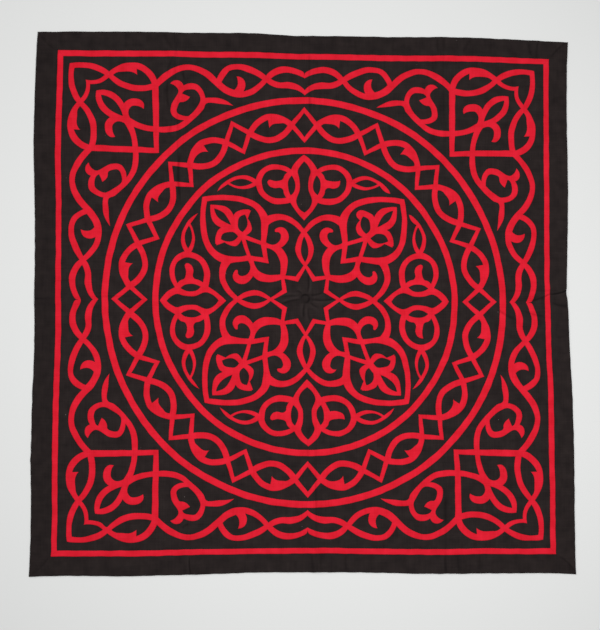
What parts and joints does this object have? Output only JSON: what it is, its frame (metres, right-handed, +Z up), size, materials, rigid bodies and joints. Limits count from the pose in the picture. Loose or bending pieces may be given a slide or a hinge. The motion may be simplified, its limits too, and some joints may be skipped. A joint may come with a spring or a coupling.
{
  "type": "applique panel",
  "caption": "Square black cotton panel with a red cut-cloth arabesque sewn on: star medallion, ringed lozenge chain, scroll border and mitred frame, lying flat.",
  "frame": {"origin": "on the floor, under the middle of the cloth as it lies", "axes": "+Z up through the face of the cloth, +Y towards its top edge, +X towards its right edge"},
  "size_m": [1.034, 1.0364, 0.0056],
  "materials": {
    "black_cotton": "matt plain-woven cotton, warm charcoal black",
    "red_cotton": "matt fine plain-woven cotton, bright red"
  },
  "bodies": {
    "root": {"ground_cloth": "black_cotton", "border_top": "black_cotton", "border_right": "black_cotton", "border_bottom": "black_cotton", "border_left": "black_cotton", "frame_top": "red_cotton", "frame_right": "red_cotton", "frame_bottom": "red_cotton", "frame_left": "red_cotton", "border_scroll": "red_cotton", "outer_ring": "red_cotton", "inner_ring": "red_cotton", "lozenge_chain": "red_cotton", "axis_motif_top": "red_cotton", "axis_motif_right": "red_cotton", "axis_motif_bottom": "red_cotton", "axis_motif_left": "red_cotton", "medallion": "red_cotton"}
  },
  "joints": []
}
